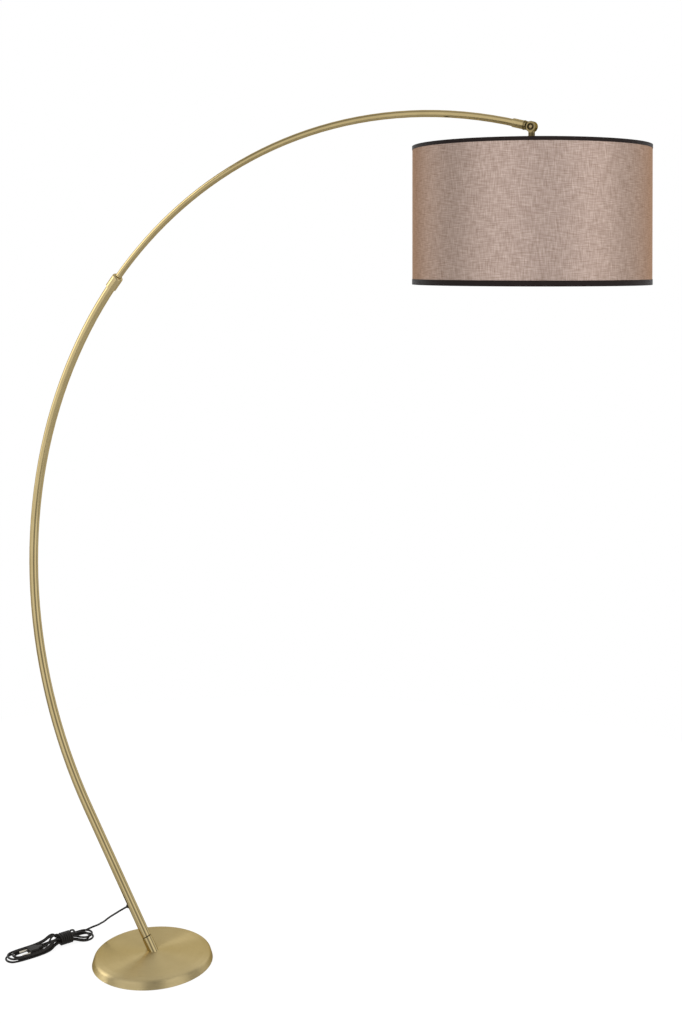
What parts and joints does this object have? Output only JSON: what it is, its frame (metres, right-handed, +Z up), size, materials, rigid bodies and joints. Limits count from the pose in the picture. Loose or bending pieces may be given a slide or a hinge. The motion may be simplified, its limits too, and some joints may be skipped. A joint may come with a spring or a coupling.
{
  "type": "arc floor lamp",
  "caption": "Arc floor lamp with a weighted round base, a telescoping bow of two tubes and a tilting drum shade on a swivel.",
  "frame": {"origin": "centre of the base's underside, on the floor", "axes": "+Z up, +X along the bow's reach towards the shade, the bow in the XZ plane"},
  "size_m": [1.4961, 0.4499, 1.8475],
  "materials": {
    "antique_brass": "satin brushed",
    "polished_brass": "polished",
    "zinc_steel": "zinc plated",
    "cast_iron": "raw casting",
    "pad_black": "matt",
    "lead_black": "semi matt",
    "holder_black": "moulded",
    "insert_white": "glazed",
    "bush_grey": "moulded",
    "linen_taupe": "woven linen",
    "liner_white": "matt film",
    "trim_black": "bias tape",
    "wire_white": "powder coat",
    "pin_nickel": "nickel plated",
    "shell_brass": "bright"
  },
  "bodies": {
    "stand": {"base_cover": "antique_brass", "base_weight": "cast_iron", "base_pad": "pad_black", "base_socket": "polished_brass", "base_bolt": "zinc_steel", "base_washer": "zinc_steel", "pole_screw": "zinc_steel", "lower_tube": "antique_brass", "cord_grommet": "lead_black", "collar": "antique_brass", "collar_screw": "zinc_steel", "pole_flex": "lead_black", "slack_flex": "lead_black", "cord_run": "lead_black", "cord_hank": "lead_black", "plug_body": "lead_black", "plug_pins": "pin_nickel"},
    "arm": {"upper_tube": "antique_brass", "guide_bush": "bush_grey", "arm_flex": "lead_black", "arm_ferrule": "polished_brass", "knuckle_arm": "polished_brass", "knuckle_screw": "polished_brass", "knuckle_washer": "zinc_steel", "knuckle_nut": "zinc_steel"},
    "head": {"knuckle_head": "polished_brass", "head_leads": "lead_black", "stem_nipple": "zinc_steel", "lock_nut": "zinc_steel", "holder_cap": "holder_black", "holder_insert": "insert_white", "holder_shell": "shell_brass", "centre_contact": "shell_brass", "holder_body": "holder_black", "ring_nut": "holder_black", "shade_carrier": "wire_white", "bottom_wire": "wire_white", "shade_fabric": "linen_taupe", "shade_liner": "liner_white", "top_trim": "trim_black", "bottom_trim": "trim_black"}
  },
  "joints": [
    {"name": "arm_slide", "type": "hinge", "parent": "stand", "child": "arm", "pos_m": [0.6401, 0, 0.8506], "axis": [0, 1, 0], "range_deg": [-15, 0], "deforming": ["slack_flex"]},
    {"name": "shade_tilt", "type": "hinge", "parent": "arm", "child": "head", "pos_m": [0.91126, 0, 1.80326], "axis": [0, 1, 0], "range_deg": [-60, 14], "deforming": ["head_leads"]}
  ]
}
